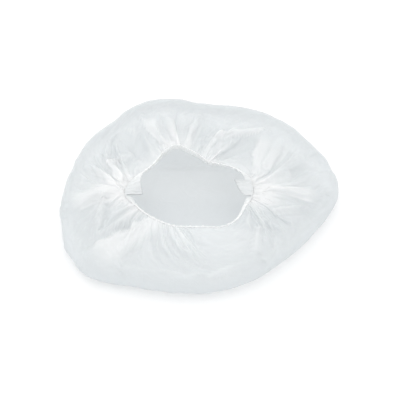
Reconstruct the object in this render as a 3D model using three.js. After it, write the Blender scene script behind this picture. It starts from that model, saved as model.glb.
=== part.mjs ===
// A disposable shower cap of thin clear film, lying crown down with its gathered mouth up.
// Millimetres, +Z up. The origin is on the surface that the cap lies on, under the middle of
// its outline. A turn is an angle round the cap in degrees, anticlockwise from +X, seen from above.
import * as THREE from "three";

// Driving dimensions
const FILM_WALL = 1.2; // the film is modelled thicker than its real few hundredths
const HEM_WIDTH = 7; // the elastic casing round the mouth, along the film
const HEM_THICKNESS = 3;
const SEAM_GAP = 0.3; // between the film's edge and the casing
const BAG_X = 0.5; // the point that the outline's radii are measured from
const BAG_Y = 1;
const MOUTH_X = -10.5; // the mouth's middle is a little left of and in front of the cap's
const MOUTH_Y = -12.5;
const TOE_WIDTH = 24; // the side rolls under by this much before it meets the flat crown
const SIDE_RISE = 26; // how far the side climbs before it turns in over the crown
const ROOF_PULL = 44; // how far out the roof starts to level off towards the hem
const ROOF_DIP = 2; // the roof climbs this much on its last stretch to the hem

// Gathers at the elastic
const PLEAT_COUNT = 36;
const PLEAT_DEPTH = 1.3; // half of a pleat's height at the hem
const PLEAT_REACH = 0.34; // share of the roof that the pleats run out over
const FOLD_START = 0.3; // share of the roof where the main folds have risen from the smooth belly
const FOLD_END = 0.86; // share of the roof where the main folds start to level out towards the hem

// Mesh density
const STATIONS = 144; // round the cap, four to a pleat
const BED_RINGS = [1]; // on the flat crown, as shares of its radius
const TOE_RINGS = [0.35, 0.7, 1]; // round the rolled-under side, as shares of a quarter turn
const ROOF_RINGS = [0.11, 0.22, 0.33, 0.43, 0.53, 0.62, 0.71, 0.79, 0.87, 0.94, 1]; // belly to hem
const HEM_SIDES = 8;

// One row for each section round the cap, at even turns:
// reach is the outline's radius, belly the height of its widest point,
// mouth the radius of the opening about its own middle, rise the height of its edge,
// lean the degrees that the casing stands up to that edge: upright at the back, down at the front.
const SECTIONS = [
  { turn: 0, reach: 136, belly: 14, mouth: 54, rise: 38, lean: 5 },
  { turn: 15, reach: 133, belly: 15, mouth: 53, rise: 39, lean: 34 },
  { turn: 30, reach: 130, belly: 15, mouth: 46, rise: 40, lean: 48 },
  { turn: 45, reach: 129, belly: 15, mouth: 38, rise: 41, lean: 60 },
  { turn: 60, reach: 127, belly: 16, mouth: 35, rise: 41, lean: 70 },
  { turn: 75, reach: 123, belly: 16, mouth: 39, rise: 42, lean: 78 },
  { turn: 90, reach: 123, belly: 15, mouth: 45, rise: 43, lean: 82 },
  { turn: 105, reach: 134, belly: 17, mouth: 53, rise: 44, lean: 82 },
  { turn: 120, reach: 138, belly: 16, mouth: 50, rise: 43, lean: 78 },
  { turn: 135, reach: 132, belly: 15, mouth: 45, rise: 42, lean: 70 },
  { turn: 150, reach: 133, belly: 15, mouth: 45, rise: 40, lean: 58 },
  { turn: 165, reach: 132, belly: 14, mouth: 50, rise: 39, lean: 42 },
  { turn: 180, reach: 135, belly: 14, mouth: 55, rise: 38, lean: 22 },
  { turn: 195, reach: 141, belly: 13, mouth: 57, rise: 36, lean: -20 },
  { turn: 210, reach: 150, belly: 12, mouth: 56, rise: 34, lean: -54 },
  { turn: 225, reach: 152, belly: 12, mouth: 54, rise: 33, lean: -54 },
  { turn: 240, reach: 139, belly: 13, mouth: 52, rise: 32, lean: -48 },
  { turn: 255, reach: 133, belly: 14, mouth: 51, rise: 31, lean: -43 },
  { turn: 270, reach: 131, belly: 14, mouth: 50, rise: 31, lean: -40 },
  { turn: 285, reach: 127, belly: 14, mouth: 52, rise: 31, lean: -43 },
  { turn: 300, reach: 122, belly: 13, mouth: 59, rise: 31, lean: -48 },
  { turn: 315, reach: 119, belly: 13, mouth: 61, rise: 32, lean: -54 },
  { turn: 330, reach: 121, belly: 13, mouth: 58, rise: 34, lean: -54 },
  { turn: 345, reach: 127, belly: 13, mouth: 56, rise: 36, lean: -20 },
];

// One row for each main fold or dent of the roof, from its end near the mouth (in) to its outer
// end (out): turns and shares of the way from belly to hem, its width at the outer end, and its
// height over the smooth film, or depth where that is negative.
const FOLDS = [
  { turnIn: 184, shareIn: 0.96, turnOut: 185, shareOut: 0.76, width: 36, lift: 4 }, // left knot
  { turnIn: 178, shareIn: 0.95, turnOut: 167, shareOut: 0.5, width: 14, lift: 3 },
  { turnIn: 170, shareIn: 0.92, turnOut: 156, shareOut: 0.55, width: 14, lift: 3 },
  { turnIn: 161, shareIn: 0.72, turnOut: 144, shareOut: 0.78, width: 15, lift: 4 },
  { turnIn: 185, shareIn: 0.9, turnOut: 193, shareOut: 0.35, width: 26, lift: 4 },
  { turnIn: 192, shareIn: 0.84, turnOut: 221, shareOut: 0.5, width: 13, lift: 4 },
  { turnIn: 206, shareIn: 0.93, turnOut: 210, shareOut: 0.72, width: 15, lift: -4 },
  { turnIn: 217, shareIn: 0.96, turnOut: 219, shareOut: 0.78, width: 14, lift: 3 },
  { turnIn: 239, shareIn: 0.96, turnOut: 228, shareOut: 0.08, width: 40, lift: 5 }, // front left fan
  { turnIn: 229, shareIn: 0.92, turnOut: 219, shareOut: 0.3, width: 14, lift: -4 },
  { turnIn: 251, shareIn: 0.97, turnOut: 254, shareOut: 0.8, width: 13, lift: -4 },
  { turnIn: 260, shareIn: 0.95, turnOut: 267, shareOut: 0.74, width: 15, lift: 3 },
  { turnIn: 274, shareIn: 0.2, turnOut: 293, shareOut: 0.35, width: 14, lift: 3 },
  { turnIn: 287, shareIn: 0.93, turnOut: 300, shareOut: 0.58, width: 34, lift: 3 }, // front right flap
  { turnIn: 317, shareIn: 0.8, turnOut: 297, shareOut: 0.36, width: 15, lift: 4 },
  { turnIn: 323, shareIn: 0.72, turnOut: 312, shareOut: 0.36, width: 20, lift: -4 },
  { turnIn: 350, shareIn: 0.96, turnOut: 352, shareOut: 0.76, width: 40, lift: 5 }, // right knot
  { turnIn: 18, shareIn: 0.9, turnOut: 43, shareOut: 0.5, width: 13, lift: 4 },
  { turnIn: 20, shareIn: 0.8, turnOut: 36, shareOut: 0.38, width: 18, lift: 3 },
  { turnIn: 352, shareIn: 0.82, turnOut: 352, shareOut: 0.42, width: 14, lift: 4 },
  { turnIn: 334, shareIn: 0.76, turnOut: 341, shareOut: 0.5, width: 15, lift: 3 },
  { turnIn: 325, shareIn: 0.94, turnOut: 336, shareOut: 0.18, width: 14, lift: -4 },
  { turnIn: 11, shareIn: 0.62, turnOut: 13, shareOut: 0.34, width: 34, lift: -5 }, // right dent
  { turnIn: 70, shareIn: 0.93, turnOut: 68, shareOut: 0.72, width: 15, lift: 4 }, // back right fold
  { turnIn: 68, shareIn: 0.72, turnOut: 50, shareOut: 0.48, width: 13, lift: 4 },
  { turnIn: 50, shareIn: 0.9, turnOut: 48, shareOut: 0.66, width: 28, lift: -5 },
  { turnIn: 110, shareIn: 0.95, turnOut: 117, shareOut: 0.52, width: 14, lift: 4 }, // back fan
  { turnIn: 104, shareIn: 0.95, turnOut: 106, shareOut: 0.6, width: 13, lift: 3 },
  { turnIn: 93, shareIn: 0.93, turnOut: 87, shareOut: 0.58, width: 15, lift: 4 },
  { turnIn: 137, shareIn: 0.92, turnOut: 134, shareOut: 0.6, width: 30, lift: -5 }, // back left dent
];

// Where the casing's ends overlap at a side seam, a tab of it slants into the mouth:
// it starts at one turn, swells, and is deepest at the other, where it stops short.
const TABS = [
  { start: 161, end: 192.5, depth: 11 },
  { start: -14, end: 5, depth: 11 },
];

const rad = THREE.MathUtils.degToRad;

// A column of the table as a smooth closed function of the turn
function around(column) {
  const step = 360 / SECTIONS.length;
  const at = (i) => SECTIONS[THREE.MathUtils.euclideanModulo(i, SECTIONS.length)][column];
  return (turn) => {
    const i = Math.floor(turn / step);
    const f = turn / step - i;
    const slopeIn = (at(i + 1) - at(i - 1)) / 2;
    const slopeOut = (at(i + 2) - at(i)) / 2;
    const rest = 1 - f;
    return (
      at(i) * (1 + 2 * f) * rest * rest +
      slopeIn * f * rest * rest +
      at(i + 1) * (3 - 2 * f) * f * f -
      slopeOut * f * f * rest
    );
  };
}

const reachAt = around("reach");
const bellyAt = around("belly");
const mouthAt = around("mouth");
const riseAt = around("rise");
const leanAt = around("lean");

const outward = (turn) => new THREE.Vector3(Math.cos(rad(turn)), Math.sin(rad(turn)), 0);
const UP = new THREE.Vector3(0, 0, 1);

// A point out from the middle of the outline, on the ground
function onGround(turn, radius) {
  return new THREE.Vector3(BAG_X, BAG_Y, 0).addScaledVector(outward(turn), radius);
}

// The casing's directions: along it to the mouth's edge, and out of its face
function casingWays(turn) {
  const level = Math.cos(rad(leanAt(turn)));
  const upright = Math.sin(rad(leanAt(turn)));
  const along = outward(turn).multiplyScalar(-level).addScaledVector(UP, upright);
  const across = outward(turn).multiplyScalar(upright).addScaledVector(UP, level);
  return { along, across };
}

// The film's edge, where the casing starts
function filmEdge(turn) {
  return new THREE.Vector3(MOUTH_X, MOUTH_Y, riseAt(turn))
    .addScaledVector(outward(turn), mouthAt(turn))
    .addScaledVector(casingWays(turn).along, -HEM_WIDTH - SEAM_GAP);
}

// The three stretches of the smooth skin, each from its inner end (0) to its outer end (1)
function bed(turn, share) {
  return onGround(turn, (reachAt(turn) - TOE_WIDTH) * share);
}

function toe(turn, share) {
  const lift = (share * Math.PI) / 2;
  const radius = reachAt(turn) - TOE_WIDTH + TOE_WIDTH * Math.sin(lift);
  return onGround(turn, radius).addScaledVector(UP, bellyAt(turn) * (1 - Math.cos(lift)));
}

function roof(turn, share) {
  const belly = toe(turn, 1);
  const edge = filmEdge(turn);
  const climb = belly.clone().addScaledVector(UP, SIDE_RISE);
  const level = edge.clone().addScaledVector(outward(turn), ROOF_PULL).addScaledVector(UP, -ROOF_DIP);
  return new THREE.CubicBezierCurve3(belly, climb, level, edge).getPoint(share);
}

// The skin's normal, pointing out of the film
function outOf(stretch, turn, share) {
  const step = 0.01;
  const low = Math.max(share - step, 0);
  const high = Math.min(share + step, 1);
  const along = stretch(turn, high).sub(stretch(turn, low));
  const round = stretch(turn + step, share).sub(stretch(turn - step, share));
  return round.cross(along).normalize();
}

// Pleats at the elastic
function pleats(turn, share) {
  const near = THREE.MathUtils.smoothstep(share, 1 - PLEAT_REACH, 1);
  return PLEAT_DEPTH * near * Math.cos(PLEAT_COUNT * rad(turn));
}

const flattened = (point) => point.setZ(0);

// The folds as lines in plan
const foldLines = FOLDS.map(({ turnIn, shareIn, turnOut, shareOut, width, lift }) => ({
  line: new THREE.Line3(flattened(roof(turnIn, shareIn)), flattened(roof(turnOut, shareOut))),
  width,
  lift,
}));

// How far the main folds raise the roof at a point: a round bump across each line,
// half as wide at its inner end as at its outer one, that ends at the belly and at the hem
function folds(point, share) {
  const place = flattened(point.clone());
  const onLine = new THREE.Vector3();
  let height = 0;
  for (const { line, width, lift } of foldLines) {
    const part = line.closestPointToPointParameter(place, true);
    const half = THREE.MathUtils.lerp(width / 4, width / 2, part);
    const off = Math.min(line.at(part, onLine).distanceTo(place) / half, 1);
    height += lift * (1 - off * off) ** 2;
  }
  const rising = THREE.MathUtils.smoothstep(share, 0, FOLD_START);
  return height * rising * (1 - THREE.MathUtils.smoothstep(share, FOLD_END, 1));
}

// A closed skin through rings of points, from a pole to a pole, or round a closed section
function skinOf(rings, poles) {
  const geometry = new THREE.BufferGeometry();
  const points = poles ? [poles[0], ...rings.flat(), poles[1]] : rings.flat();
  const first = poles ? 1 : 0;
  const index = [];
  const vertex = (ring, station) => first + ring * STATIONS + (station % STATIONS);
  const bands = poles ? rings.length - 1 : rings.length;
  for (let ring = 0; ring < bands; ring++) {
    const next = (ring + 1) % rings.length;
    for (let station = 0; station < STATIONS; station++) {
      const a = vertex(ring, station);
      const b = vertex(ring, station + 1);
      const c = vertex(next, station + 1);
      const d = vertex(next, station);
      index.push(a, b, c, a, c, d);
    }
  }
  if (poles) {
    const last = points.length - 1;
    for (let station = 0; station < STATIONS; station++) {
      index.push(0, vertex(0, station + 1), vertex(0, station));
      index.push(last, vertex(rings.length - 1, station), vertex(rings.length - 1, station + 1));
    }
  }
  geometry.setFromPoints(points);
  geometry.setIndex(index);
  geometry.computeVertexNormals();
  return geometry;
}

const turns = Array.from({ length: STATIONS }, (_, station) => (station * 360) / STATIONS);

// The film: crown, side and roof in one sheet, outer skin and inner skin a wall apart
function filmBag() {
  const meridian = [
    ...BED_RINGS.map((share) => ({ stretch: bed, share })),
    ...TOE_RINGS.map((share) => ({ stretch: toe, share })),
    ...ROOF_RINGS.map((share) => ({ stretch: roof, share })),
  ];
  const ringAt = ({ stretch, share }, depth) =>
    turns.map((turn) => {
      const point = stretch(turn, share);
      const lift = stretch === roof ? pleats(turn, share) + folds(point, share) : 0;
      return point.addScaledVector(outOf(stretch, turn, share), lift - depth);
    });
  const outer = meridian.map((place) => ringAt(place, 0));
  const inner = meridian.map((place) => ringAt(place, FILM_WALL)).reverse();
  const poles = [new THREE.Vector3(0, 0, 0), new THREE.Vector3(0, 0, FILM_WALL)];
  return skinOf([...outer, ...inner], poles);
}

// How far the tabs carry the casing into the mouth
function tabAt(turn) {
  let depth = 0;
  for (const tab of TABS) {
    const past = THREE.MathUtils.euclideanModulo(turn - tab.start, 360);
    const length = tab.end - tab.start;
    if (past <= length) {
      depth = tab.depth * Math.sqrt(past / length);
    }
  }
  return depth;
}

// The elastic casing: a flattened tube round the mouth that ripples with the pleats
function elasticHem() {
  const sides = Array.from({ length: HEM_SIDES }, (_, side) => (side * 2 * Math.PI) / HEM_SIDES);
  const rings = sides.map((side) =>
    turns.map((turn) => {
      const { along, across } = casingWays(turn);
      const halfWidth = (HEM_WIDTH + tabAt(turn)) / 2;
      const sunk = (FILM_WALL / 2) * Math.cos(rad(leanAt(turn)));
      return filmEdge(turn)
        .addScaledVector(outOf(roof, turn, 1), pleats(turn, 1) - sunk)
        .addScaledVector(along, SEAM_GAP + halfWidth * (1 - Math.cos(side)))
        .addScaledVector(across, (HEM_THICKNESS / 2) * Math.sin(side));
    }),
  );
  return skinOf(rings);
}

const filmMaterial = new THREE.MeshStandardMaterial({
  color: 0xe4e9ea,
  roughness: 0.45,
  metalness: 0,
  transparent: true,
  opacity: 0.6,
});
const hemMaterial = new THREE.MeshStandardMaterial({ color: 0xf0f2f2, roughness: 0.55, metalness: 0 });

function named(name, geometry, material) {
  const mesh = new THREE.Mesh(geometry, material);
  mesh.name = name;
  return mesh;
}

const cap = new THREE.Group();
cap.add(named("film_bag", filmBag(), filmMaterial));
cap.add(named("elastic_hem", elasticHem(), hemMaterial));

export default cap;
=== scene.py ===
"""A disposable shower cap of thin film: the gathered film, its elastic hem, and the stage.

The cap lies crown down with its mouth up. Its shape is worked out in millimetres, as its
tables are, and scaled to metres when a mesh is made. A turn is an angle round the cap in
degrees, anticlockwise from +X, seen from above.
"""

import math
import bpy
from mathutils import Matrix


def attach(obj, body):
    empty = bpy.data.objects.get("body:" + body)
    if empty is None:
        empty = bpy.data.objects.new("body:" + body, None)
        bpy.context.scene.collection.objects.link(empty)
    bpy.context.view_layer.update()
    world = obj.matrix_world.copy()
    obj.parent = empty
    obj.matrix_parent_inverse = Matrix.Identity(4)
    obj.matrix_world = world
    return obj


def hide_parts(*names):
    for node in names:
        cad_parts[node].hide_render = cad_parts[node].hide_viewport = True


bl_info = {
    "name": "Shower cap",
    "version": (1, 0, 0),
    "blender": (4, 5, 0),
    "location": "View3D > Sidebar > Cap",
    "description": "Builds a gathered film shower cap and a pale stage",
    "category": "Object",
}

import bpy
import numpy as np
from bpy.props import FloatProperty, FloatVectorProperty, PointerProperty
from mathutils import Vector

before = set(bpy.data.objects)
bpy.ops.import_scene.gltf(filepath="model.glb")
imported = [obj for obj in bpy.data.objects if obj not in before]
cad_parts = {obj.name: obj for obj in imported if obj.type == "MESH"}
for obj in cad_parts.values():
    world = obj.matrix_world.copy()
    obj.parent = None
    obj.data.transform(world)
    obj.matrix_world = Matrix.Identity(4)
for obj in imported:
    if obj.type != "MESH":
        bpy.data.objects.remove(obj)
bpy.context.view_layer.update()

MM = 0.001
BODY = "root"
FILM_NODE = "film_bag"
HEM_NODE = "elastic_hem"

# The bag's shape, in millimetres
BAG_MIDDLE = np.array([0.5, 1.0, 0.0])
MOUTH_MIDDLE = np.array([-10.5, -12.5, 0.0])
TOE_WIDTH = 24.0
SIDE_RISE = 26.0
ROOF_PULL = 44.0
ROOF_DIP = 2.0
SEAM_GAP = 0.3
UP = np.array([0.0, 0.0, 1.0])

# One row for each section round the cap, at even turns: the outline's radius, the height of its
# widest point, the mouth's radius about its own middle, the height of the mouth's edge, and the
# degrees that the casing stands up to that edge.
SECTION_COLUMNS = ("turn", "reach", "belly", "mouth", "rise", "lean")
SECTIONS = (
    (0, 136, 14, 54, 38, 5),
    (15, 133, 15, 53, 39, 34),
    (30, 130, 15, 46, 40, 48),
    (45, 129, 15, 38, 41, 60),
    (60, 127, 16, 35, 41, 70),
    (75, 123, 16, 39, 42, 78),
    (90, 123, 15, 45, 43, 82),
    (105, 134, 17, 53, 44, 82),
    (120, 138, 16, 50, 43, 78),
    (135, 132, 15, 45, 42, 70),
    (150, 133, 15, 45, 40, 58),
    (165, 132, 14, 50, 39, 42),
    (180, 135, 14, 55, 38, 22),
    (195, 141, 13, 57, 36, -20),
    (210, 150, 12, 56, 34, -54),
    (225, 152, 12, 54, 33, -54),
    (240, 139, 13, 52, 32, -48),
    (255, 133, 14, 51, 31, -43),
    (270, 131, 14, 50, 31, -40),
    (285, 127, 14, 52, 31, -43),
    (300, 122, 13, 59, 31, -48),
    (315, 119, 13, 61, 32, -54),
    (330, 121, 13, 58, 34, -54),
    (345, 127, 13, 56, 36, -20),
)

# One row for each main fold or dent of the roof, most of them from the mouth outwards: turn and
# share of the way from belly to hem of its first and of its last end, width at its last end, which
# is twice that at its first, and height. A fold with an edge lies over to one side: 1 is its left,
# looking from its first end to its last, and -1 its right. White is how much of a second layer it
# lays over the film, and fades towards its last end.
FOLD_COLUMNS = ("first_turn", "first_share", "last_turn", "last_share", "width", "lift", "edge", "white")
FOLDS = (
    (184, 0.96, 185, 0.76, 36, 4, 0, 0.8),
    (178, 0.95, 167, 0.5, 14, 3, 0, 0.5),
    (170, 0.92, 156, 0.55, 14, 3, 0, 0.5),
    (161, 0.72, 144, 0.78, 15, 4, 0, 0.5),
    (185, 0.9, 193, 0.35, 40, 4, 1, 0.6),
    (192, 0.84, 221, 0.5, 13, 4, 0, 0.3),
    (206, 0.93, 210, 0.72, 15, -2, 0, 0),
    (217, 0.96, 219, 0.78, 14, 3, 0, 0.3),
    (239, 0.96, 228, 0.08, 44, 5, -1, 0.7),
    (229, 0.92, 219, 0.3, 14, -2, 0, 0),
    (251, 0.97, 254, 0.8, 13, -2, 0, 0),
    (260, 0.95, 267, 0.74, 15, 3, 0, 0.4),
    (274, 0.2, 293, 0.35, 14, 3, 0, 0.2),
    (287, 0.93, 300, 0.58, 50, 4, 1, 0.15),
    (317, 0.8, 297, 0.36, 15, 4, 0, 0.3),
    (323, 0.72, 312, 0.36, 20, -4, 0, 0),
    (350, 0.96, 352, 0.76, 44, 5, 0, 0.9),
    (18, 0.9, 43, 0.5, 26, 4, 1, 0.6),
    (20, 0.8, 36, 0.38, 24, 3, 0, 0.5),
    (353, 0.86, 352, 0.4, 28, 4, -1, 0.6),
    (334, 0.76, 341, 0.5, 15, 3, 0, 0.4),
    (325, 0.94, 336, 0.18, 14, -2, 0, 0),
    (11, 0.62, 13, 0.34, 34, -5, 0, 0),
    (68, 0.68, 69, 0.95, 18, 4, 0, 0.5),
    (50, 0.47, 75, 0.74, 20, 4, 1, 0.5),
    (50, 0.9, 48, 0.66, 28, -5, 0, 0),
    (110, 0.95, 117, 0.52, 20, 4, 1, 0.5),
    (104, 0.95, 106, 0.6, 16, 3, 0, 0.5),
    (93, 0.93, 87, 0.58, 18, 4, 0, 0.5),
    (137, 0.92, 134, 0.6, 30, -5, 0, 0),
)

# The shares of the roof that the folds rise from and sink at, then in half widths where a laid
# fold is highest and where the white of a ridge and of a laid fold ends, and the shares of their
# length that their white fades from
FOLD_START = 0.3
FOLD_END = 0.86
LAID_PEAK = 0.5
RIDGE_WHITE = 0.75
LAID_WHITE = 0.86
RIDGE_FADE = 0.3
LAID_FADE = 0.7

# Where the film crowds together along the hem: the turn, how wide the crowd spreads, and the
# share of the film's edge that it takes up.
CROWD_COLUMNS = ("turn", "spread", "share")
CROWDS = (
    (184, 10, 0.25),
    (352, 12, 0.27),
    (105, 9, 0.1),
    (62, 12, 0.07),
    (214, 10, 0.08),
    (250, 12, 0.08),
)

# The degrees between the turns that the crowds are summed at, the power of the way up the roof
# that draws the film to them, and how wide their knots are
CROWD_STEP = 0.25
CROWD_ONSET = 1.5
KNOT_SPREAD = 4

# Where the casing's ends overlap at a side seam, a tab of it slants into the mouth: the turns that
# it starts and ends at, how deep it gets, and the turns and the depth of the slit past its end.
TABS = (
    (161, 192.5, 11, 3.2, 5.5),
    (-14, 5, 11, -3.2, 5.5),
)

# A pleat that lies across the crown: its ends, how wide it is and how high its front edge stands,
# how far its ends, its back and its front take to fade, and how long the slopes before and behind
# its front edge are
PLEAT_LEFT = np.array([-48.0, 48.0])
PLEAT_RIGHT = np.array([36.0, 51.0])
PLEAT_WIDTH = 34.0
PLEAT_HEIGHT = 2.0
PLEAT_END_FADE = 12.0
PLEAT_BACK_FADE = 8.0
PLEAT_EDGE_FADE = 1.0
PLEAT_FRONT_SLOPE = 2.5
PLEAT_BACK_SLOPE = 12.0

# How much painted shade the crown gets, as greyer and more opaque film: on the crown beside the bag's
# sides, for the shade inside the bag; more in its pleat, for the shade under the back of the roof; and
# more in a band before that, to darken the front of the crown that the light falls on more. Then the
# band's middle and how far it spreads
CROWN_SHADE = 0.58
PLEAT_SHADE = 0.64
BAND_SHADE = 0.86
BAND_MIDDLE = -18.0
BAND_SPREAD = 45.0

# The share of the way to the roof that the sides roll up from, and the share of the roof that their
# painted shade fades over
ROLL_START = 0.85
SIDE_SHARE = 0.45

# How the film gathers: it grows in steps from the smooth bag, on a coarse disc that is stiff against
# bending, and then settles on a fine one with twice the rings. Each step has some passes, and the
# film has grown after a share of the steps.
RINGS = 56
COARSE_STEPS = 120
FINE_STEPS = 30
GROWING = 0.8
PASSES = 6
COARSE_BENDING = 0.8
FINE_BENDING = 0.2

# How strongly a step draws the film to its place, how much of its speed it keeps, and its sag
HOLD = 0.004
GLIDE = 0.85
SAG = 0.01

# How far the film may drift from its place, on the roof and at the hem, and the share of the roof
# that the hem's limit starts to tell from
DRIFT_LIMIT = 8.0
HEM_DRIFT_LIMIT = 1.5
HEM_LIMIT_START = 0.6

# How much of a disc's width the flat film keeps past its belly, and how far a stretch of it may
# grow, as a share of its length on the smooth bag
FULLNESS = 0.25
CROWD_LIMIT = 0.8

# The shares of the roof that the film starts to be full and loose at, and is wholly so, and how
# much of its fullness laid folds and knots take away
FIRST_FULL = 0.4
ALL_FULL = 0.95
FIRST_LOOSE = 0.08
ALL_LOOSE = 0.4
LAID_SMOOTH = 0.8
KNOT_SMOOTH = 0.75

# The chance unevenness that the folds start from, and how many times it is evened out
UNEVENNESS = 2.5
COARSE_EVENED = 8
FINE_UNEVENNESS = 0.2
FINE_EVENED = 3

# Soft creases of the bag's sides: how high, how many times evened out, and the shares of the roof
# that they fade from and end at
SIDE_CREASES = 0.7
SIDE_EVENED = 40
CREASES_FADE = 0.3
CREASES_END = 0.6

# How white the film is near the hem, from which share of the roof, at how many layers it is all
# white and how many times these are evened out
HEM_WHITENESS = 0.5
HEM_WHITE_START = 0.8
WHITE_LAYERS = 2.4
LAYERS_EVENED = 4

# A painted highlight along the ridges: how much whiter a ridge is painted, and the heights and the shares
# of the roof that this starts and is whole at
RIDGE_HIGHLIGHT = 0.25
RIDGE_LOW = 0.1
RIDGE_HIGH = 0.6
RIDGES_START = 0.3
RIDGES_WHOLE = 0.6

# The pleats of the film's edge under the hem: the depth of a step, and the steps of one pleat. Then
# how far the film lies clear of the floor
HEM_ZIGZAG = 1.2
ZIGZAG_STEPS = np.array([0, 1, 2, 1])
CLEARANCE = 0.4

# The casing: points along it and round it, how far it laps over the film, its ripples and how far
# across it they are whole, the radius of its place on the flat film, and the degrees of lean up to
# which it counts as level and from which it counts as upright, which set its painted light
HEM_COUNT = 720
HEM_SIDES = 12
HEM_LAP = 0.5
RIPPLE_COUNTS = (47, 61, 83, 110)
RIPPLE_HEIGHT = 0.7
RIPPLE_START = 3.0
HEM_PLACE = 200.0
LEVEL_LEAN = 10
UPRIGHT_LEAN = 60

# The film's crinkles: a cloud, and lines where a wandering noise is near its middle. Then how
# strongly the film and the hem show them
CLOUD_SCALE = 0.11
CLOUD_DETAIL = 4
LINE_SCALE = 0.05
LINE_DETAIL = 3
LINE_WANDER = 0.8
LINE_START = 0.46
LINE_MIDDLE = 0.5
LINE_SHARE = 0.3
FILM_CRINKLES = 0.5
HEM_CRINKLES = 0.4

# How rough the film, the hem and the floor are, and how glossy the film is
FILM_ROUGHNESS = 0.4
HEM_ROUGHNESS = 0.45
FLOOR_ROUGHNESS = 0.9
FILM_GLOSS = 0.3

# The stage: the floor's half width in millimetres, the lights, the spot that the camera looks at in
# metres, its sensor in millimetres, and how many layers of film a ray may pass
FLOOR_HALF = 3000.0
SKY_STRENGTH = 1.07
SOFTBOX_SIZE = 1.6
SOFTBOX_ENERGY = 4
SOFTBOX_PLACE = Vector((-0.3, 0.4, 1.2))
CAMERA_TARGET = Vector((-0.0005, 0.004, 0))
SENSOR_WIDTH = 36
CLEAR_LAYERS = 32

# The sixths of a disc, a length too small to tell from none, and the seed of what falls by chance
SIXTHS = 6
TINY = 1e-9
SEED = 3


def columns(names, rows):
    """The rows of a table as one array for each named column."""
    values = np.array(rows, dtype=float)
    return {name: values[:, index] for index, name in enumerate(names)}


SECTION = columns(SECTION_COLUMNS, SECTIONS)
FOLD = columns(FOLD_COLUMNS, FOLDS)
CROWD = columns(CROWD_COLUMNS, CROWDS)


def ease(value, low, high):
    """A smooth step from 0 at low to 1 at high."""
    part = np.clip((value - low) / (high - low), 0, 1)
    return part * part * (3 - 2 * part)


def turned(angle):
    """An angle in degrees, from -180 to 180."""
    return (angle + 180) % 360 - 180


def around(column, turn):
    """A column of the sections as a smooth closed function of the turn."""
    values = SECTION[column]
    count = len(values)
    steps = np.asarray(turn, dtype=float) * count / 360
    index = np.floor(steps).astype(int)
    part = steps - index
    rest = 1 - part
    before, here, after, beyond = (values[(index + k) % count] for k in (-1, 0, 1, 2))
    return (
        here * (1 + 2 * part) * rest**2
        + (after - before) / 2 * part * rest**2
        + after * (3 - 2 * part) * part**2
        - (beyond - here) / 2 * part**2 * rest
    )


def outward(turn):
    """The level direction of a turn."""
    angle = np.radians(turn)
    return np.stack([np.cos(angle), np.sin(angle), np.zeros_like(angle)], axis=-1)


def casing_ways(turn):
    """The casing's directions: along it to the mouth's edge, and out of its face."""
    lean = np.radians(around("lean", turn))[..., None]
    along = UP * np.sin(lean) - outward(turn) * np.cos(lean)
    across = outward(turn) * np.sin(lean) + UP * np.cos(lean)
    return along, across


def film_edge(turn):
    """Where the film goes into the hem."""
    along, _ = casing_ways(turn)
    edge = outward(turn) * around("mouth", turn)[..., None] + UP * around("rise", turn)[..., None]
    return MOUTH_MIDDLE + edge - along * (bpy.context.scene.cap_hem.width / MM + SEAM_GAP)


def bed(turn, share):
    """The flat crown, from its middle to where the side starts."""
    radius = (around("reach", turn) - TOE_WIDTH) * share
    return BAG_MIDDLE + outward(turn) * radius[..., None]


def toe(turn, share):
    """The rolled-under side, from the crown to its widest point."""
    angle = share * math.pi / 2
    radius = around("reach", turn) - TOE_WIDTH + TOE_WIDTH * np.sin(angle)
    height = around("belly", turn) * (1 - np.cos(angle))
    return BAG_MIDDLE + outward(turn) * radius[..., None] + UP * height[..., None]


def roof(turn, share):
    """The roof, from the widest point up and in to the hem."""
    belly = toe(turn, np.ones_like(turn))
    edge = film_edge(turn)
    climb = belly + UP * SIDE_RISE
    level = edge + outward(turn) * ROOF_PULL - UP * ROOF_DIP
    part = np.asarray(share)[..., None]
    rest = 1 - part
    return belly * rest**3 + 3 * climb * rest**2 * part + 3 * level * rest * part**2 + edge * part**3


def normal_of(stretch, turn, share):
    """The skin's normal, pointing out of the film."""
    step = 0.01
    along = stretch(turn, np.minimum(share + step, 1)) - stretch(turn, np.maximum(share - step, 0))
    round_it = stretch(turn + step, share) - stretch(turn - step, share)
    normal = np.cross(round_it, along)
    return normal / np.maximum(np.linalg.norm(normal, axis=-1, keepdims=True), TINY)


def off_fold(points, start, end, width):
    """How far along a fold some points are, as a share, and how far to its left in half widths."""
    line = end - start
    length = np.linalg.norm(line)
    along = line / length
    left = np.array([-line[1], line[0]]) / length
    off = points[:, :2] - start
    part = np.clip(off @ along / length, 0, 1)
    half = width / 2 * (1 + part) / 2
    beyond = np.maximum(np.abs(off @ along - length / 2) - length / 2, 0)
    side = np.hypot(off @ left, beyond) * np.where(off @ left < 0, -1, 1) / half
    return part, side


def fold_profile(side, edge):
    """A fold's height by the side of its line, in half widths: a ridge, or laid over to one side."""
    ridge = (1 - np.minimum(np.abs(side), 1) ** 2) ** 2
    over = side * edge
    laid = ease(over, -1, LAID_PEAK) * (1 - ease(over, LAID_PEAK, 1))
    return np.where(edge == 0, ridge, laid)


def fold_veil(side, edge):
    """How white a fold is by the side of its line, in half widths."""
    ridge = 1 - ease(np.abs(side), RIDGE_WHITE, 1)
    over = side * edge
    laid = ease(over, -1, 0) * (1 - ease(over, LAID_WHITE, 1))
    return np.where(edge == 0, ridge, laid)


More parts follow.
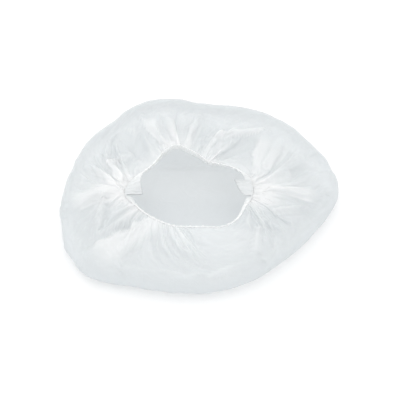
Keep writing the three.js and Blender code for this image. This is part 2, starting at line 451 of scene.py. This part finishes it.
def fold_maps(points, share):
    """How far the main folds raise the roof at some points, how white and how smooth they make it."""
    start = roof(FOLD["first_turn"], FOLD["first_share"])[:, :2]
    end = roof(FOLD["last_turn"], FOLD["last_share"])[:, :2]
    height = np.zeros(len(points))
    clear = np.ones(len(points))
    smooth = np.zeros(len(points))
    for row, edge in enumerate(FOLD["edge"]):
        part, side = off_fold(points, start[row], end[row], FOLD["width"][row])
        height += FOLD["lift"][row] * fold_profile(side, edge)
        fade = 1 - ease(part, RIDGE_FADE if edge == 0 else LAID_FADE, 1)
        veil = fold_veil(side, edge)
        clear *= 1 - FOLD["white"][row] * veil * fade
        smooth = np.maximum(smooth, veil * abs(edge))
    fades = ease(share, 0, FOLD_START) * (1 - ease(share, FOLD_END, 1))
    return height * fades, (1 - clear) * (share >= 0), smooth * (share >= 0)


def crown_pleat(points):
    """Where the crown's pleat lies, from 0 to 1, and how far its front edge stands up."""
    line = PLEAT_RIGHT - PLEAT_LEFT
    length = np.linalg.norm(line)
    off = points[:, :2] - PLEAT_LEFT
    along = off @ (line / length)
    behind = off @ (np.array([-line[1], line[0]]) / length)
    ends = ease(along, 0, PLEAT_END_FADE) * (1 - ease(along, length - PLEAT_END_FADE, length))
    band = 1 - ease(behind, PLEAT_WIDTH - PLEAT_BACK_FADE, PLEAT_WIDTH)
    band *= ease(behind, -PLEAT_EDGE_FADE, PLEAT_EDGE_FADE)
    edge = ease(behind, -PLEAT_FRONT_SLOPE, 0) * (1 - ease(behind, 0, PLEAT_BACK_SLOPE))
    return ends * band, PLEAT_HEIGHT * ends * edge


class Skin:
    """The smooth skin by turn and length along the film from the middle of the crown."""

    SAMPLES = 161
    STEP = 1.0

    def __init__(self):
        self.turns = np.arange(0, 360 + self.STEP, self.STEP)
        self.shares = np.linspace(0, 1, self.SAMPLES)
        self.bed_length = around("reach", self.turns) - TOE_WIDTH
        self.toe_lengths = self.lengths_along(toe)
        self.roof_lengths = self.lengths_along(roof)
        self.roof_start = self.bed_length + self.toe_lengths[:, -1]
        self.total = self.roof_start + self.roof_lengths[:, -1]

    def lengths_along(self, stretch):
        """How long a stretch is at each sampled share of it, for each turn."""
        turn, share = np.meshgrid(self.turns, self.shares, indexing="ij")
        steps = np.linalg.norm(np.diff(stretch(turn, share), axis=1), axis=2)
        return np.concatenate([np.zeros((len(self.turns), 1)), np.cumsum(steps, axis=1)], axis=1)

    def at(self, values, turn):
        """A value kept for each turn, at any turn."""
        return np.interp(turn % 360, self.turns, values)

    def share_at(self, lengths, turn, length):
        """The share of a stretch that a length along it comes to."""
        steps = turn % 360 / self.STEP
        index = np.floor(steps).astype(int)
        part = steps - index
        share = np.empty(len(turn))
        for row in np.unique(index):
            here = index == row
            near = np.interp(length[here], lengths[row], self.shares)
            far = np.interp(length[here], lengths[row + 1], self.shares)
            share[here] = near + (far - near) * part[here]
        return share

    def place(self, turn, length):
        """Points and normals on the skin, and how far up the roof each is, under 0 off the roof."""
        bed_length = self.at(self.bed_length, turn)
        roof_start = self.at(self.roof_start, turn)
        points = bed(turn, length / bed_length)
        normals = np.tile(-UP, (len(turn), 1))
        up_roof = np.full(len(turn), -1.0)
        rolls = (length > bed_length) & (length <= roof_start)
        share = self.share_at(self.toe_lengths, turn[rolls], (length - bed_length)[rolls])
        points[rolls] = toe(turn[rolls], share)
        normals[rolls] = normal_of(toe, turn[rolls], share)
        climbs = length > roof_start
        share = self.share_at(self.roof_lengths, turn[climbs], (length - roof_start)[climbs])
        points[climbs] = roof(turn[climbs], share)
        normals[climbs] = normal_of(roof, turn[climbs], share)
        up_roof[climbs] = share
        return points, normals, up_roof


def crowded_turn(angle):
    """The turn on the hem that an angle round the flat film is gathered to."""
    turns = np.arange(0, 360 + CROWD_STEP, CROWD_STEP)
    crowding = np.full(len(turns), (1 - CROWD["share"].sum()) / 360)
    for turn, spread, share in zip(CROWD["turn"], CROWD["spread"], CROWD["share"]):
        off = turned(turns - turn) / spread
        crowding += share * np.exp(-(off**2) / 2) / (spread * math.sqrt(2 * math.pi))
    taken = np.concatenate([[0], np.cumsum((crowding[1:] + crowding[:-1]) / 2)])
    taken *= 360 / taken[-1]
    drift = np.mean(turns - taken)
    return np.interp((angle - drift) % 360, taken, turns)


def crowded(turn):
    """How near a turn is to the hem's crowds, from 0 to about 1 at the fullest."""
    near = np.zeros_like(turn)
    for middle, spread, share in zip(CROWD["turn"], CROWD["spread"], CROWD["share"]):
        off = turned(turn - middle) / spread
        near += share / CROWD["share"].max() * np.exp(-(off**2) / KNOT_SPREAD)
    return np.minimum(near, 1)


def ring_start(ring):
    """The index of the first vertex of a disc's ring."""
    return np.where(ring == 0, 0, 1 + SIXTHS * ring * (ring - 1) // 2)


def disc_mesh(rings):
    """A disc of even triangles: the ring and the angle of each vertex, and the faces."""
    ring = [0]
    angle = [0.0]
    faces = []
    for outer in range(1, rings + 1):
        count = SIXTHS * outer
        inner_count = max(count - SIXTHS, 1)
        first = int(ring_start(outer))
        inner_first = int(ring_start(outer - 1))
        ring += [outer] * count
        angle += [360 * k / count for k in range(count)]
        for sixth in range(SIXTHS):
            for k in range(outer):
                a = first + (sixth * outer + k) % count
                b = first + (sixth * outer + k + 1) % count
                c = inner_first + (sixth * (outer - 1) + k) % inner_count
                faces.append((c, a, b))
                if k < outer - 1:
                    d = inner_first + (sixth * (outer - 1) + k + 1) % inner_count
                    faces.append((c, b, d))
    return np.array(ring), np.array(angle), np.array(faces)


def halved(points, rings):
    """The points of a disc with twice the rings, half way between those of a disc of some rings."""
    numbers = np.arange(1, 2 * rings + 1)
    ring = np.repeat(numbers, SIXTHS * numbers)
    place = np.concatenate([np.arange(SIXTHS * number) for number in numbers])
    sixth = place // ring
    step = place % ring

    def coarse(outer, index):
        spot = (sixth * outer + index) % np.maximum(SIXTHS * outer, 1)
        return points[ring_start(outer) + np.where(outer == 0, 0, spot)]

    near = coarse(ring // 2, step // 2)
    far = coarse((ring + 1) // 2, (step + 1) // 2)
    return np.concatenate([points[:1], (near + far) / 2])


def springs_of(faces):
    """The edges of a mesh, and the pairs of vertices that face each other across an edge."""
    across = {}
    for face in faces.tolist():
        for k in range(3):
            a, b, c = face[k], face[(k + 1) % 3], face[(k + 2) % 3]
            across.setdefault((min(a, b), max(a, b)), []).append(c)
    edges = np.array(list(across))
    bends = np.array([pair for pair in across.values() if len(pair) == 2])
    return edges, bends


class Springs:
    """Pairs of vertices that are pushed to a rest length, in groups that share no vertex."""

    def __init__(self, pairs, start, flat):
        taken = [0] * len(start)
        group = np.empty(len(pairs), dtype=int)
        for index, (a, b) in enumerate(pairs.tolist()):
            free = ~(taken[a] | taken[b])
            bit = free & -free
            group[index] = bit.bit_length() - 1
            taken[a] |= bit
            taken[b] |= bit
        self.pairs = pairs
        self.groups = [np.nonzero(group == k)[0] for k in range(group.max() + 1)]
        self.start = self.lengths(start)
        self.crowding = flat / self.start
        self.excess = np.clip(flat - self.start, 0, CROWD_LIMIT * self.start)
        self.rest = self.start

    def lengths(self, points):
        """How far apart the pairs are."""
        return np.linalg.norm(points[self.pairs[:, 0]] - points[self.pairs[:, 1]], axis=1)

    def grow(self, share):
        """Sets the rest lengths a share of the way from the start's to the flat film's."""
        self.rest = self.start + self.excess * share

    def push(self, points, loose, stiffness):
        """Moves each pair towards its rest length."""
        for group in self.groups:
            a, b = self.pairs[group].T
            gap = points[b] - points[a]
            length = np.sqrt((gap * gap).sum(axis=1)) + TINY
            share = stiffness * (length - self.rest[group]) / (length * (loose[a] + loose[b] + TINY))
            points[a] += gap * (share * loose[a])[:, None]
            points[b] -= gap * (share * loose[b])[:, None]


class Film:
    """A disc of film laid on the smooth bag."""

    def __init__(self, skin, rings):
        ring, self.angle, self.faces = disc_mesh(rings)
        self.at_hem = ring == rings
        total = skin.at(skin.total, self.angle)
        self.roof_start = skin.at(skin.roof_start, self.angle)
        self.reach = ring / rings * total
        turn = self.drawn_in(total)
        placed = skin.place(turn, ring / rings * skin.at(skin.total, turn))
        self.smooth, self.normals, self.up_roof = placed
        height, self.doubled, laid = fold_maps(self.smooth, self.up_roof)
        on_roof = self.up_roof >= 0
        self.target = self.smooth + self.normals * (on_roof * height)[:, None]
        self.loose = ease(self.up_roof, FIRST_LOOSE, ALL_LOOSE) * ~self.at_hem
        near_hem = ease(self.up_roof, HEM_LIMIT_START, 1)
        self.limit = DRIFT_LIMIT + (HEM_DRIFT_LIMIT - DRIFT_LIMIT) * near_hem
        full = ease(self.up_roof, FIRST_FULL, ALL_FULL) * (1 - LAID_SMOOTH * laid)
        full *= 1 - KNOT_SMOOTH * crowded(turn)
        edges, bends = springs_of(self.faces)
        belly = skin.roof_start.mean()
        self.edges = self.springs(edges, belly, full)
        self.bends = self.springs(bends, belly, full)

    def drawn_in(self, total):
        """The turn that each vertex is drawn to by the crowds along the hem."""
        up = np.clip((self.reach - self.roof_start) / (total - self.roof_start), 0, 1)
        return self.angle + turned(crowded_turn(self.angle) - self.angle) * up**CROWD_ONSET

    def springs(self, pairs, belly, full):
        """Springs between pairs of vertices, which grow only as far as the film is full there."""
        springs = Springs(pairs, self.target, self.flat_length(pairs, belly))
        springs.excess *= full[pairs].mean(axis=1)
        return springs

    def flat_length(self, pairs, belly):
        """How far apart pairs lie on the flat film, which is cut narrower than a disc past its belly."""
        first, last = pairs.T
        reach = (self.reach[first] + self.reach[last]) / 2
        wide = np.minimum(reach, belly) + np.maximum(reach - belly, 0) * FULLNESS
        round_it = wide * np.radians(turned(self.angle[first] - self.angle[last]))
        return np.hypot(self.reach[first] - self.reach[last], round_it)

    def roughen(self, points, amount, evened, random):
        """Gives the loose film a chance unevenness for its folds to start from."""
        uneven = self.spread_out(random.normal(0, 1, len(points)), evened)
        return points + self.normals * (self.loose * uneven * amount / uneven.std())[:, None]

    def zigzag(self, points):
        """Pleats the film's edge where the hem hides it."""
        steps = np.resize(ZIGZAG_STEPS, self.at_hem.sum())
        along, _ = casing_ways(crowded_turn(self.angle[self.at_hem]))
        points[self.at_hem] = self.target[self.at_hem] + along * (steps * HEM_ZIGZAG)[:, None]

    def gather(self, points, steps, grown, bending):
        """Lets the film settle in steps as it grows from a share of its flat size to all of it."""
        speed = np.zeros_like(points)
        loose = self.loose
        for step in range(steps):
            share = min(1, grown + (1 - grown) * (step + 1) / (GROWING * steps))
            self.edges.grow(share)
            self.bends.grow(share)
            before = points.copy()
            points += speed * (GLIDE * loose)[:, None]
            points -= UP * (SAG * loose)[:, None]
            for _ in range(PASSES):
                self.bends.push(points, loose, bending)
                self.edges.push(points, loose, 1)
            off = points - self.target
            far = np.linalg.norm(off, axis=1)
            keep = (1 - HOLD * loose) * np.minimum(1, self.limit / np.maximum(far, TINY))
            points = self.target + off * keep[:, None]
            speed = points - before
        return points

    def spread_out(self, values, times):
        """Evens a value out along the film's edges."""
        first, last = self.edges.pairs.T
        for _ in range(times):
            total = values.copy()
            count = np.ones(len(values))
            np.add.at(total, first, values[last])
            np.add.at(total, last, values[first])
            np.add.at(count, first, 1)
            np.add.at(count, last, 1)
            values = total / count
        return values

    def layers(self):
        """How many times over the film lies at each vertex."""
        total = np.zeros(len(self.angle))
        count = np.zeros(len(self.angle))
        for end in self.edges.pairs.T:
            np.add.at(total, end, self.edges.crowding)
            np.add.at(count, end, 1)
        return self.spread_out(total / count, LAYERS_EVENED)

    def ridges(self, points):
        """How far each vertex stands out of the film round it, in millimetres."""
        near = np.stack([self.spread_out(points[:, k], 1) for k in range(3)], axis=1)
        return ((points - near) * self.normals).sum(axis=1)

    def rolled(self):
        """How far each vertex is up from the flat crown to the roof, from 0 to 1."""
        return ease(self.reach / self.roof_start, ROLL_START, 1)

    def side_creases(self, random):
        """How far soft creases raise the bag's sides, in millimetres."""
        uneven = self.spread_out(random.normal(0, 1, len(self.angle)), SIDE_EVENED)
        on_side = self.rolled() * (1 - ease(self.up_roof, CREASES_FADE, CREASES_END))
        return SIDE_CREASES * on_side * (1 - np.abs(uneven) / uneven.std())

    def gathers_and_highlights(self, points):
        """How white the film is at each vertex: crowded, doubled or near the hem, and with a painted
        highlight on a ridge.
        """
        clear = 1 - ease(self.layers(), 1, WHITE_LAYERS) * (self.up_roof >= 0)
        clear *= 1 - self.doubled
        sideways = ease(np.sin(np.radians(self.angle)), -1, 0)
        clear *= 1 - HEM_WHITENESS * sideways * ease(self.up_roof, HEM_WHITE_START, 1)
        # A painted highlight on the ridges
        highlighted = ease(self.ridges(points), RIDGE_LOW, RIDGE_HIGH)
        highlighted *= ease(self.up_roof, RIDGES_START, RIDGES_WHOLE)
        return 1 - clear * (1 - RIDGE_HIGHLIGHT * highlighted)

    def painted_shades(self):
        """How much painted shade the film gets at each vertex, as deep in the bag: all of it at its sides.
        """
        band, _ = crown_pleat(self.smooth)
        # A band before the pleat gets more painted shade, to darken the front of the crown that the light
        # falls on more
        before = 1 - ease(np.abs(self.smooth[:, 1] - BAND_MIDDLE), 0, BAND_SPREAD)
        single = CROWN_SHADE + (BAND_SHADE - CROWN_SHADE) * before
        # The pleat's band gets more painted shade, for the shade under the back of the roof
        pleated = single + (PLEAT_SHADE - single) * band
        crown = pleated + (1 - pleated) * self.rolled()
        return np.where(self.up_roof < 0, crown, 1 - ease(self.up_roof, 0, SIDE_SHARE))


def gathered_film():
    """Gathers the film first coarsely and then finely: the film and its points."""
    skin = Skin()
    random = np.random.default_rng(SEED)
    coarse = Film(skin, RINGS)
    points = coarse.roughen(coarse.target, UNEVENNESS, COARSE_EVENED, random)
    points = coarse.gather(points, COARSE_STEPS, 0, COARSE_BENDING)
    film = Film(skin, 2 * RINGS)
    points = film.roughen(halved(points, RINGS), FINE_UNEVENNESS, FINE_EVENED, random)
    points = film.gather(points, FINE_STEPS, 1, FINE_BENDING)
    film.zigzag(points)
    points += film.normals * film.side_creases(random)[:, None]
    _, raised = crown_pleat(film.smooth)
    points += UP * (CLEARANCE + raised * (film.up_roof < 0))[:, None]
    return film, points


def mesh_object(name, points, faces, material):
    """A smooth shaded piece from points in millimetres."""
    mesh = bpy.data.meshes.new(name)
    mesh.from_pydata((points * MM).tolist(), [], [tuple(face) for face in faces.tolist()])
    mesh.shade_smooth()
    mesh.materials.append(material)
    piece = bpy.data.objects.new(name, mesh)
    bpy.context.scene.collection.objects.link(piece)
    return piece


def keep_value(piece, name, values):
    """Keeps a value for each vertex of a piece."""
    piece.data.attributes.new(name, "FLOAT", "POINT").data.foreach_set("value", values.astype(np.float32))


def keep_vector(piece, name, values):
    """Keeps a vector for each vertex of a piece."""
    flat = values.astype(np.float32).ravel()
    piece.data.attributes.new(name, "FLOAT_VECTOR", "POINT").data.foreach_set("vector", flat)


def add_node(tree, kind, **settings):
    """A node of some kind, with its settings."""
    node = tree.nodes.new(kind)
    for name, value in settings.items():
        setattr(node, name, value)
    return node


def set_input(tree, socket, value):
    """Links an output to a socket, or sets a value or colour on it."""
    if isinstance(value, bpy.types.NodeSocket):
        tree.links.new(value, socket)
    elif socket.type == "RGBA":
        socket.default_value = (*value, 1)
    else:
        socket.default_value = value


def mixed(tree, kind, factor, low, high):
    """A colour or value between two by a factor."""
    mix = add_node(tree, "ShaderNodeMix", data_type=kind)
    set_input(tree, mix.inputs["Factor"], factor)
    set_input(tree, mix.inputs["A"], low)
    set_input(tree, mix.inputs["B"], high)
    return mix.outputs["Result"]


def attribute(tree, name, output="Fac"):
    """A value or vector that is kept on the piece."""
    return add_node(tree, "ShaderNodeAttribute", attribute_name=name).outputs[output]


def noise(tree, place, scale, detail, distortion=0):
    """An even noise at a place."""
    node = add_node(tree, "ShaderNodeTexNoise")
    node.inputs["Scale"].default_value = scale
    node.inputs["Detail"].default_value = detail
    node.inputs["Distortion"].default_value = distortion
    tree.links.new(place, node.inputs["Vector"])
    return node.outputs["Fac"]


def crinkle_group():
    """Fine crinkles of thin film, by its place on the flat film in millimetres."""
    group = bpy.data.node_groups.new("film_crinkles", "ShaderNodeTree")
    group.interface.new_socket("Place", in_out="INPUT", socket_type="NodeSocketVector")
    group.interface.new_socket("Height", in_out="OUTPUT", socket_type="NodeSocketFloat")
    place = add_node(group, "NodeGroupInput").outputs["Place"]
    height = add_node(group, "NodeGroupOutput").inputs["Height"]
    cloud = noise(group, place, CLOUD_SCALE, CLOUD_DETAIL)
    wander = noise(group, place, LINE_SCALE, LINE_DETAIL, LINE_WANDER)
    near_line = add_node(group, "ShaderNodeMath", operation="PINGPONG")
    near_line.inputs[1].default_value = LINE_MIDDLE
    group.links.new(wander, near_line.inputs[0])
    line = add_node(group, "ShaderNodeMapRange")
    line.inputs["From Min"].default_value = LINE_START
    line.inputs["From Max"].default_value = LINE_MIDDLE
    group.links.new(near_line.outputs["Value"], line.inputs["Value"])
    group.links.new(mixed(group, "FLOAT", LINE_SHARE, cloud, line.outputs["Result"]), height)
    return group


def crinkled(tree, group, strength):
    """The height of the crinkles at a piece's place on the film, and a normal that has them."""
    node = add_node(tree, "ShaderNodeGroup", node_tree=group)
    tree.links.new(attribute(tree, "place", "Vector"), node.inputs["Place"])
    bump = add_node(tree, "ShaderNodeBump")
    bump.inputs["Strength"].default_value = strength
    bump.inputs["Distance"].default_value = MM
    tree.links.new(node.outputs["Height"], bump.inputs["Height"])
    return node.outputs["Height"], bump.outputs["Normal"]


def let_light_through(tree, shader, veil, shade):
    """Gives a shader a veil that shades what lies under it by only a share, as film spreads light."""
    shading = add_node(tree, "ShaderNodeLightPath").outputs["Is Shadow Ray"]
    lighter = add_node(tree, "ShaderNodeMath", operation="MULTIPLY")
    tree.links.new(veil, lighter.inputs[0])
    tree.links.new(mixed(tree, "FLOAT", shading, 1.0, shade), lighter.inputs[1])
    tree.links.new(lighter.outputs["Value"], shader.inputs["Alpha"])


def new_material(name, roughness, gloss):
    """A material that is equally rough and glossy all over, and its shader."""
    material = bpy.data.materials.new(name)
    material.use_nodes = True
    shader = material.node_tree.nodes["Principled BSDF"]
    shader.inputs["Roughness"].default_value = roughness
    shader.inputs["Specular IOR Level"].default_value = gloss
    return material, shader


def film_material(film, crinkles):
    """Thin milky film, whiter where it crowds together, and greyer and more opaque with painted shade where
    it lies deep in the bag.
    """
    material, shader = new_material("milky_film", FILM_ROUGHNESS, FILM_GLOSS)
    tree = material.node_tree
    # depth is painted shade: deep in the bag the film turns greyer and more opaque
    # gather is the white of gathered film, with a painted highlight on its ridges
    gather = attribute(tree, "gather")
    depth = attribute(tree, "depth")
    height, normal = crinkled(tree, crinkles, FILM_CRINKLES)
    colour = mixed(tree, "RGBA", gather, film.thin_colour, film.gathered_colour)
    colour = mixed(tree, "RGBA", depth, colour, film.deep_shade_colour)
    tree.links.new(colour, shader.inputs["Base Color"])
    veil = mixed(tree, "FLOAT", gather, film.thin_veil, film.gathered_veil)
    veil = mixed(tree, "FLOAT", depth, veil, film.deep_shade_veil)
    uneven = add_node(tree, "ShaderNodeMath", operation="MULTIPLY_ADD")
    uneven.inputs[1].default_value = film.unevenness
    tree.links.new(height, uneven.inputs[0])
    tree.links.new(veil, uneven.inputs[2])
    let_light_through(tree, shader, uneven.outputs["Value"], film.shade)
    tree.links.new(normal, shader.inputs["Normal"])
    return material


def hem_material(hem, crinkles):
    """The film folded over the elastic, painted whiter where it stands up, for the light that its upright
    faces miss, and greyer where it lies level and catches more light.
    """
    material, shader = new_material("folded_casing", HEM_ROUGHNESS, FILM_GLOSS)
    tree = material.node_tree
    height, normal = crinkled(tree, crinkles, HEM_CRINKLES)
    # Painted light: the upright casing is whiter and the level casing greyer
    colour = mixed(tree, "RGBA", attribute(tree, "upright"), hem.colour, hem.upright_painted_light)
    tree.links.new(colour, shader.inputs["Base Color"])
    veil = mixed(tree, "FLOAT", height, hem.crease_veil, hem.veil)
    let_light_through(tree, shader, veil, hem.shade)
    tree.links.new(normal, shader.inputs["Normal"])
    return material


def floor_material(stage):
    """Plain pale floor."""
    material, shader = new_material("pale_floor", FLOOR_ROUGHNESS, 0)
    shader.inputs["Base Color"].default_value = (*stage.floor_colour, 1)
    return material


def tab_depth(turn):
    """How far the tabs carry the casing into the mouth, less where a slit parts it."""
    depth = np.zeros_like(turn)
    for start, end, deepest, slit, slit_depth in TABS:
        past = (turn - start) % 360
        length = end - start
        depth += np.where(past <= length, deepest * np.sqrt(past / length), 0)
        past_end = turned(turn - (end if slit > 0 else start)) / slit
        depth -= np.where((past_end > 0) & (past_end < 1), slit_depth, 0)
    return depth


def ripples(turn, random):
    """Small waves of the casing, in millimetres."""
    wave = np.zeros_like(turn)
    for count in RIPPLE_COUNTS:
        wave += np.sin(np.radians(turn) * count + random.uniform(0, 2 * math.pi))
    return wave * RIPPLE_HEIGHT / len(RIPPLE_COUNTS)


def casing(hem):
    """The casing's turns, its points side after side, and their places on the flat film."""
    turn = np.arange(HEM_COUNT) * 360 / HEM_COUNT
    along, across = casing_ways(turn)
    half = (HEM_LAP + hem.width / MM + tab_depth(turn)) / 2
    wave = ripples(turn, np.random.default_rng(SEED))
    points = []
    places = []
    for side in np.arange(HEM_SIDES) * 2 * math.pi / HEM_SIDES:
        over = half * (1 - math.cos(side))
        line = film_edge(turn) + along * (over - HEM_LAP)[:, None]
        off = hem.thickness / MM / 2 * math.sin(side) + wave * np.minimum(over / RIPPLE_START, 1)
        points.append(line + across * off[:, None])
        places.append(outward(turn) * HEM_PLACE + UP * over[:, None])
    return turn, np.concatenate(points), np.concatenate(places)


def tube_faces(count, sides):
    """The faces of a closed tube whose points come side after side."""
    faces = []
    for side in range(sides):
        here = side * count
        beside = (side + 1) % sides * count
        for k in range(count):
            after = (k + 1) % count
            faces.append((here + k, here + after, beside + after, beside + k))
    return np.array(faces)


def add_floor(stage):
    """A wide plain floor."""
    corners = np.array([(-1, -1, 0), (1, -1, 0), (1, 1, 0), (-1, 1, 0)]) * FLOOR_HALF
    floor = mesh_object("floor", corners, np.array([(0, 1, 2, 3)]), floor_material(stage))


def add_sky(scene):
    """Even white light from all round."""
    world = bpy.data.worlds.new("studio")
    world.use_nodes = True
    background = world.node_tree.nodes["Background"]
    background.inputs["Color"].default_value = (1, 1, 1, 1)
    background.inputs["Strength"].default_value = SKY_STRENGTH
    scene.world = world


def add_softbox(scene):
    """One large soft light, above and a little behind."""
    light = bpy.data.lights.new("softbox", "AREA")
    light.size = SOFTBOX_SIZE
    light.energy = SOFTBOX_ENERGY
    lamp = bpy.data.objects.new("softbox", light)
    lamp.location = SOFTBOX_PLACE
    lamp.rotation_euler = (-SOFTBOX_PLACE).to_track_quat("-Z", "Y").to_euler()
    scene.collection.objects.link(lamp)


def add_camera(scene, stage):
    """The camera, before the cap and above it."""
    data = bpy.data.cameras.new("camera")
    data.lens = stage.lens
    data.sensor_width = SENSOR_WIDTH
    camera = bpy.data.objects.new("camera", data)
    back = Vector((0, -math.cos(stage.elevation), math.sin(stage.elevation)))
    camera.location = CAMERA_TARGET + back * stage.distance
    camera.rotation_euler = (-back).to_track_quat("-Z", "Y").to_euler()
    scene.collection.objects.link(camera)
    scene.camera = camera


class CapFilm(bpy.types.PropertyGroup):
    """The film's colours."""

    thin_colour: FloatVectorProperty(
        name="Thin colour", description="One layer", subtype="COLOR", default=(0.8, 0.83, 0.84)
    )
    gathered_colour: FloatVectorProperty(
        name="Gathered colour", description="Many layers", subtype="COLOR", default=(0.985, 0.98, 0.978)
    )
    # Painted shade: the crown and the sides are greyer, for the shade inside the bag
    deep_shade_colour: FloatVectorProperty(
        name="Deep colour", description="Crown and sides", subtype="COLOR", default=(0.685, 0.72, 0.74)
    )
    thin_veil: FloatProperty(
        name="Thin veil", description="How milky one layer is", subtype="FACTOR", default=0.34
    )
    gathered_veil: FloatProperty(
        name="Gathered veil", description="How milky many layers are", subtype="FACTOR", default=0.53
    )
    # Painted shade: the crown and the sides are more opaque, so that their grey shows
    deep_shade_veil: FloatProperty(
        name="Deep veil", description="How milky the crown and sides are", subtype="FACTOR", default=0.8
    )
    unevenness: FloatProperty(
        name="Unevenness", description="How much the crinkles cloud it", subtype="FACTOR", default=0.04
    )
    shade: FloatProperty(
        name="Shade", description="Share of its veil that casts shade", subtype="FACTOR", default=0.08
    )


class CapHem(bpy.types.PropertyGroup):
    """The elastic hem's sizes and colours."""

    width: FloatProperty(name="Width", description="Casing along the film", default=7 * MM, unit="LENGTH")
    thickness: FloatProperty(name="Thickness", description="Casing", default=1.8 * MM, unit="LENGTH")
    # Painted shade: casing that lies level is greyer, against the more light that it catches
    colour: FloatVectorProperty(
        name="Colour", description="Casing that lies level", subtype="COLOR", default=(0.77, 0.79, 0.8)
    )
    # Painted light: casing that stands up is whiter, for the light that its upright faces miss
    upright_painted_light: FloatVectorProperty(
        name="Upright colour", description="Casing standing up", subtype="COLOR", default=(0.97, 0.98, 0.98)
    )
    veil: FloatProperty(name="Veil", description="How milky it is", subtype="FACTOR", default=0.9)
    crease_veil: FloatProperty(
        name="Crease veil", description="How milky its creases are", subtype="FACTOR", default=0.6
    )
    shade: FloatProperty(
        name="Shade", description="Share of its veil that casts shade", subtype="FACTOR", default=0.08
    )


class CapStage(bpy.types.PropertyGroup):
    """Floor, lights and camera."""

    floor_colour: FloatVectorProperty(
        name="Floor", description="Floor", subtype="COLOR", default=(0.94, 0.94, 0.94)
    )
    distance: FloatProperty(name="Distance", description="Camera from the cap", default=1.4, unit="LENGTH")
    elevation: FloatProperty(
        name="Elevation", description="Camera", default=math.radians(45), unit="ROTATION"
    )
    lens: FloatProperty(name="Lens", description="Focal length in millimetres", default=126)


class CAP_OT_film(bpy.types.Operator):
    """Gather the film into the bag"""

    bl_idname = "cap.film"
    bl_label = "Film"

    def execute(self, context):
        film, points = gathered_film()
        material = film_material(context.scene.cap_film, crinkle_group())
        piece = mesh_object("film", points, film.faces, material)
        # The white of gathered film, with a painted highlight on its ridges
        keep_value(piece, "gather", film.gathers_and_highlights(points))
        # The painted shade of the crown and the sides
        keep_value(piece, "depth", film.painted_shades())
        keep_vector(piece, "place", outward(film.angle) * film.reach[:, None])
        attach(piece, BODY)
        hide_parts(FILM_NODE)
        return {"FINISHED"}


class CAP_OT_hem(bpy.types.Operator):
    """Fold the casing of the elastic round the mouth"""

    bl_idname = "cap.hem"
    bl_label = "Elastic hem"

    def execute(self, context):
        hem = context.scene.cap_hem
        turn, points, places = casing(hem)
        material = hem_material(hem, bpy.data.node_groups["film_crinkles"])
        piece = mesh_object("hem", points, tube_faces(HEM_COUNT, HEM_SIDES), material)
        keep_vector(piece, "place", places)
        # How upright the casing stands, which sets its painted light
        upright = ease(np.abs(around("lean", turn)), LEVEL_LEAN, UPRIGHT_LEAN)
        keep_value(piece, "upright", np.tile(upright, HEM_SIDES))
        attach(piece, BODY)
        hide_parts(HEM_NODE)
        return {"FINISHED"}


class CAP_OT_stage(bpy.types.Operator):
    """Add the floor, the lights and the camera"""

    bl_idname = "cap.stage"
    bl_label = "Stage"

    def execute(self, context):
        scene = context.scene
        stage = scene.cap_stage
        add_floor(stage)
        add_sky(scene)
        add_softbox(scene)
        add_camera(scene, stage)
        scene.view_settings.view_transform = "Standard"
        scene.cycles.transparent_max_bounces = CLEAR_LAYERS
        return {"FINISHED"}


class CAP_PT_panel(bpy.types.Panel):
    """The cap's sizes, colours and builders"""

    bl_idname = "CAP_PT_panel"
    bl_label = "Shower cap"
    bl_space_type = "VIEW_3D"
    bl_region_type = "UI"
    bl_category = "Cap"

    def draw(self, context):
        for settings in (context.scene.cap_film, context.scene.cap_hem, context.scene.cap_stage):
            for name in settings.bl_rna.properties.keys():
                if name not in {"rna_type", "name"}:
                    self.layout.prop(settings, name)
        for operator in (CAP_OT_film, CAP_OT_hem, CAP_OT_stage):
            self.layout.operator(operator.bl_idname)


CLASSES = (CapFilm, CapHem, CapStage, CAP_OT_film, CAP_OT_hem, CAP_OT_stage, CAP_PT_panel)


def register():
    """Registers the classes, and their settings on the scene."""
    for cls in CLASSES:
        bpy.utils.register_class(cls)
    bpy.types.Scene.cap_film = PointerProperty(type=CapFilm)
    bpy.types.Scene.cap_hem = PointerProperty(type=CapHem)
    bpy.types.Scene.cap_stage = PointerProperty(type=CapStage)


def unregister():
    """Takes the settings and the classes away again."""
    del bpy.types.Scene.cap_stage
    del bpy.types.Scene.cap_hem
    del bpy.types.Scene.cap_film
    for cls in reversed(CLASSES):
        bpy.utils.unregister_class(cls)


def main():
    """Builds the stage, the film and the hem."""
    register()
    bpy.ops.cap.stage()
    bpy.ops.cap.film()
    bpy.ops.cap.hem()


if __name__ == "__main__":
    main()
